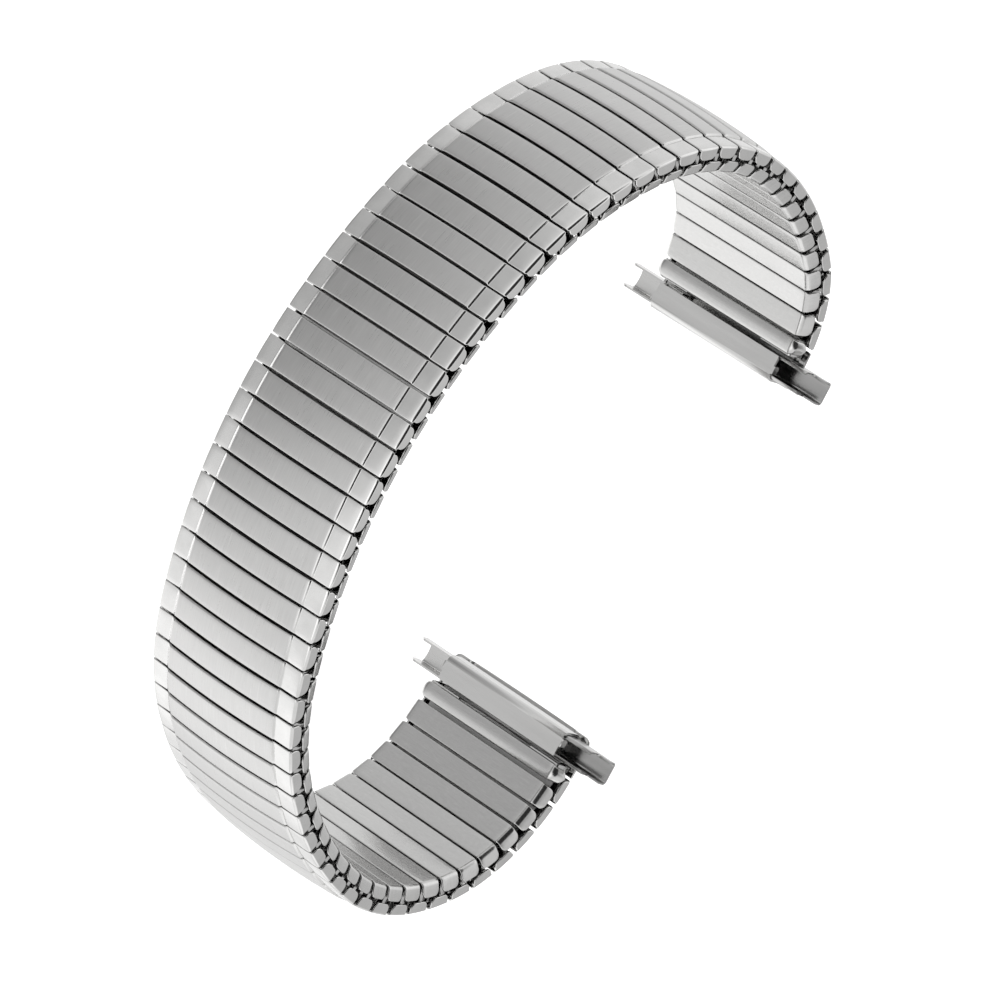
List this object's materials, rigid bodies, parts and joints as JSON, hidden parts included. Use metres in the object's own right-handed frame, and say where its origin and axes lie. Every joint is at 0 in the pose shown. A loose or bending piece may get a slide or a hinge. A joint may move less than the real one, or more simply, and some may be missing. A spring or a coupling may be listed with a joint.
{
  "type": "expansion watch band",
  "caption": "Spring-loaded expansion watch band: two staggered layers of steel links on staples, with telescoping lug-width end pieces.",
  "frame": {"origin": "middle of the band's footprint, at the level of the far slides' tips", "axes": "+Z across the band, from the far edge to the near edge; +X along the widest way across the ring, towards the first end piece; the watch gap is on the -Y side"},
  "size_m": [0.071, 0.049, 0.0219],
  "materials": {
    "cover_steel": "satin, brushed along the band",
    "link_steel": "fine satin, near polished",
    "case_steel": "smooth mill finish",
    "slide_steel": "bright folded sheet",
    "staple_steel": "bright strip",
    "spring_steel": "rolled strip",
    "sleeve_steel": "dull folded sheet"
  },
  "bodies": {
    "segment_1": {"outer_covers_1": "cover_steel", "outer_sleeves_1": "sleeve_steel", "inner_links_1": "link_steel", "staples_1": "staple_steel", "leaf_springs_1": "spring_steel", "ridge_link_a": "link_steel"},
    "segment_2": {"outer_covers_2": "cover_steel", "outer_sleeves_2": "sleeve_steel", "inner_links_2": "link_steel", "staples_2": "staple_steel", "leaf_springs_2": "spring_steel"},
    "segment_3": {"outer_covers_3": "cover_steel", "outer_sleeves_3": "sleeve_steel", "inner_links_3": "link_steel", "staples_3": "staple_steel", "leaf_springs_3": "spring_steel"},
    "segment_4": {"outer_covers_4": "cover_steel", "outer_sleeves_4": "sleeve_steel", "inner_links_4": "link_steel", "staples_4": "staple_steel", "leaf_springs_4": "spring_steel"},
    "segment_5": {"outer_covers_5": "cover_steel", "outer_sleeves_5": "sleeve_steel", "inner_links_5": "link_steel", "staples_5": "staple_steel", "leaf_springs_5": "spring_steel"},
    "segment_6": {"outer_covers_6": "cover_steel", "outer_sleeves_6": "sleeve_steel", "inner_links_6": "link_steel", "staples_6": "staple_steel", "leaf_springs_6": "spring_steel"},
    "segment_7": {"outer_covers_7": "cover_steel", "outer_sleeves_7": "sleeve_steel", "inner_links_7": "link_steel", "staples_7": "staple_steel", "leaf_springs_7": "spring_steel"},
    "segment_8": {"outer_covers_8": "cover_steel", "outer_sleeves_8": "sleeve_steel", "inner_links_8": "link_steel", "staples_8": "staple_steel", "leaf_springs_8": "spring_steel"},
    "segment_9": {"outer_covers_9": "cover_steel", "outer_sleeves_9": "sleeve_steel", "inner_links_9": "link_steel", "staples_9": "staple_steel", "leaf_springs_9": "spring_steel", "ridge_link_b": "link_steel"},
    "crossing_1": {"stretch_staples_1": "staple_steel"},
    "crossing_3": {"stretch_staples_3": "staple_steel"},
    "crossing_6": {"stretch_staples_6": "staple_steel"},
    "crossing_8": {"stretch_staples_8": "staple_steel"},
    "end_a": {"end_case_a": "case_steel", "end_cover_a": "cover_steel"},
    "near_slide_a": {"near_slide_a": "slide_steel"},
    "far_slide_a": {"far_slide_a": "slide_steel"},
    "end_b": {"end_case_b": "case_steel", "end_cover_b": "cover_steel"},
    "near_slide_b": {"near_slide_b": "slide_steel"},
    "far_slide_b": {"far_slide_b": "slide_steel"}
  },
  "joints": [
    {"name": "stretch_1_tilt", "type": "hinge", "parent": "segment_2", "child": "crossing_1", "pos_m": [0.03043, -0.01207, 0.0107], "axis": [0, 0, -1], "range_deg": [0, 32], "stiffness_Nm_per_rad": 0.0035, "springref_deg": -16.04, "deforming": ["leaf_springs_1", "leaf_springs_2"]},
    {"name": "stretch_1_return", "type": "hinge", "parent": "crossing_1", "child": "segment_1", "pos_m": [0.0324, -0.01244, 0.0107], "axis": [0, 0, -1], "range_deg": [-32, 0], "stiffness_Nm_per_rad": 0.0035, "springref_deg": 16.04},
    {"name": "flex_2_3", "type": "hinge", "parent": "segment_3", "child": "segment_2", "pos_m": [0.0333, 0.00434, 0.0107], "axis": [0, 0, 1], "range_deg": [-4, 15]},
    {"name": "stretch_3_tilt", "type": "hinge", "parent": "segment_4", "child": "crossing_3", "pos_m": [0.0215, 0.01563, 0.0107], "axis": [0, 0, -1], "range_deg": [0, 32], "stiffness_Nm_per_rad": 0.0035, "springref_deg": -16.04, "deforming": ["leaf_springs_3", "leaf_springs_4"]},
    {"name": "stretch_3_return", "type": "hinge", "parent": "crossing_3", "child": "segment_3", "pos_m": [0.02214, 0.01753, 0.0107], "axis": [0, 0, -1], "range_deg": [-32, 0], "stiffness_Nm_per_rad": 0.0035, "springref_deg": 16.04},
    {"name": "flex_4_5", "type": "hinge", "parent": "segment_5", "child": "segment_4", "pos_m": [0.00868, 0.02266, 0.0107], "axis": [0, 0, 1], "range_deg": [-4, 15]},
    {"name": "flex_5_6", "type": "hinge", "parent": "segment_5", "child": "segment_6", "pos_m": [-0.00592, 0.02319, 0.0107], "axis": [0, 0, -1], "range_deg": [-4, 15]},
    {"name": "stretch_6_tilt", "type": "hinge", "parent": "segment_6", "child": "crossing_6", "pos_m": [-0.0201, 0.01874, 0.0107], "axis": [0, 0, -1], "range_deg": [0, 32], "stiffness_Nm_per_rad": 0.0035, "springref_deg": -16.04, "deforming": ["leaf_springs_6", "leaf_springs_7"]},
    {"name": "stretch_6_return", "type": "hinge", "parent": "crossing_6", "child": "segment_7", "pos_m": [-0.01875, 0.01725, 0.0107], "axis": [0, 0, -1], "range_deg": [-32, 0], "stiffness_Nm_per_rad": 0.0035, "springref_deg": 16.04},
    {"name": "flex_7_8", "type": "hinge", "parent": "segment_7", "child": "segment_8", "pos_m": [-0.03137, 0.00623, 0.0107], "axis": [0, 0, -1], "range_deg": [-4, 15]},
    {"name": "stretch_8_tilt", "type": "hinge", "parent": "segment_8", "child": "crossing_8", "pos_m": [-0.03367, -0.01081, 0.0107], "axis": [0, 0, -1], "range_deg": [0, 32], "stiffness_Nm_per_rad": 0.0035, "springref_deg": -16.04, "deforming": ["leaf_springs_8", "leaf_springs_9"]},
    {"name": "stretch_8_return", "type": "hinge", "parent": "crossing_8", "child": "segment_9", "pos_m": [-0.03195, -0.00978, 0.0107], "axis": [0, 0, -1], "range_deg": [-32, 0], "stiffness_Nm_per_rad": 0.0035, "springref_deg": 16.04},
    {"name": "end_a_hinge", "type": "hinge", "parent": "segment_1", "child": "end_a", "pos_m": [0.01968, -0.02361, 0.0107], "axis": [0, 0, 1], "range_deg": [-3, 15]},
    {"name": "near_slide_a_travel", "type": "slide", "parent": "end_a", "child": "near_slide_a", "axis": [0, 0, 1], "range_m": [-0.0032, 0]},
    {"name": "far_slide_a_travel", "type": "slide", "parent": "end_a", "child": "far_slide_a", "axis": [0, 0, -1], "range_m": [-0.0026, 0]},
    {"name": "end_b_hinge", "type": "hinge", "parent": "segment_9", "child": "end_b", "pos_m": [-0.01964, -0.02138, 0.0107], "axis": [0, 0, -1], "range_deg": [-3, 15]},
    {"name": "near_slide_b_travel", "type": "slide", "parent": "end_b", "child": "near_slide_b", "axis": [0, 0, 1], "range_m": [-0.0032, 0]},
    {"name": "far_slide_b_travel", "type": "slide", "parent": "end_b", "child": "far_slide_b", "axis": [0, 0, -1], "range_m": [-0.0026, 0]}
  ],
  "couplings": [
    {"joint": "stretch_1_tilt", "follows": "stretch_6_tilt", "ratio": 1},
    {"joint": "stretch_1_return", "follows": "stretch_6_tilt", "ratio": -1},
    {"joint": "stretch_3_tilt", "follows": "stretch_6_tilt", "ratio": 1},
    {"joint": "stretch_3_return", "follows": "stretch_6_tilt", "ratio": -1},
    {"joint": "stretch_6_return", "follows": "stretch_6_tilt", "ratio": -1},
    {"joint": "stretch_8_tilt", "follows": "stretch_6_tilt", "ratio": 1},
    {"joint": "stretch_8_return", "follows": "stretch_6_tilt", "ratio": -1}
  ]
}
